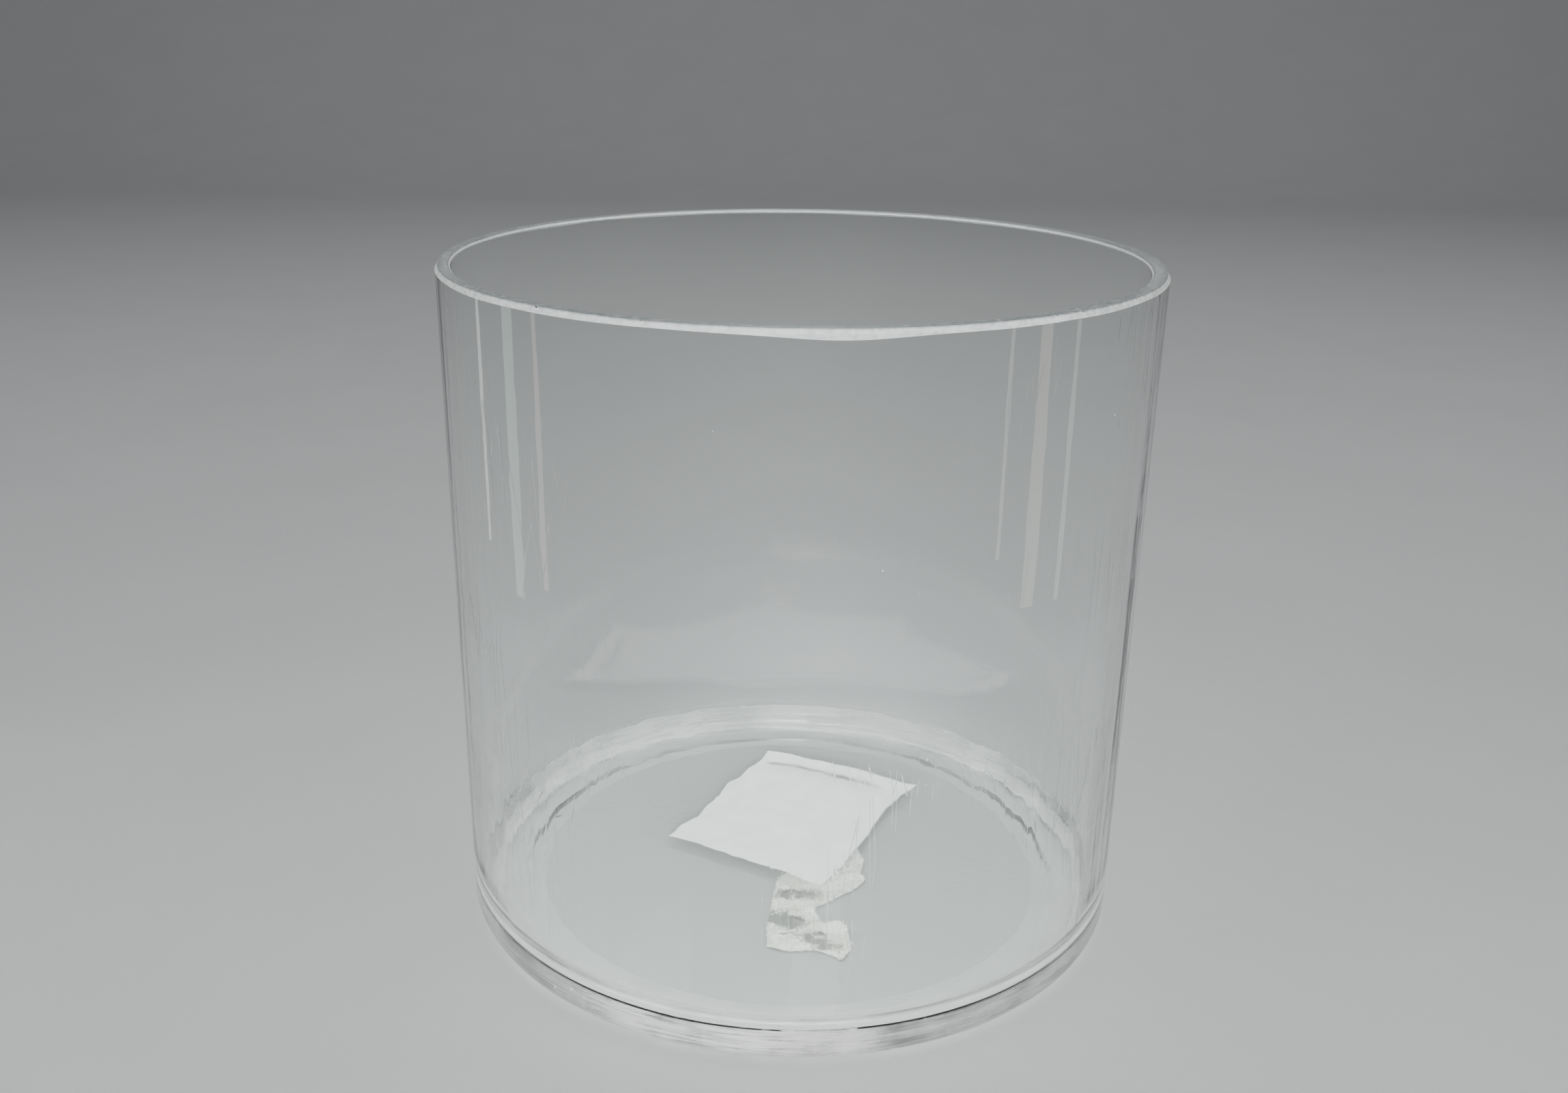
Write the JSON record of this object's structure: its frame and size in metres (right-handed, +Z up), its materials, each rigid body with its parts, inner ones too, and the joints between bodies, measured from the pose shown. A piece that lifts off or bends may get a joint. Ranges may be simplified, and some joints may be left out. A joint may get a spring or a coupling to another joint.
{
  "type": "tall crystallizing dish",
  "caption": "Straight-sided round glass vessel, nearly as tall as wide, with a flat base, a ground open rim, a blank paper label inside and a torn label rest underneath.",
  "frame": {"origin": "centre of the plane that the resting ring stands on", "axes": "+Z up along the vessel's axis of revolution, towards the open rim; -Y towards the side it is usually seen from, with the label's near corner"},
  "size_m": [0.2, 0.2, 0.196],
  "materials": {
    "clear_glass": "clear polished glass with a faint green-grey tint, matt ground rim, seeds, fine ripples and light scratches",
    "label_paper": "matt white uncoated paper, blank",
    "torn_paper": "thin torn off-white paper fibre, soaked and uneven"
  },
  "bodies": {
    "root": {"vessel": "clear_glass", "paper_label": "label_paper", "label_remnant": "torn_paper"}
  },
  "joints": []
}
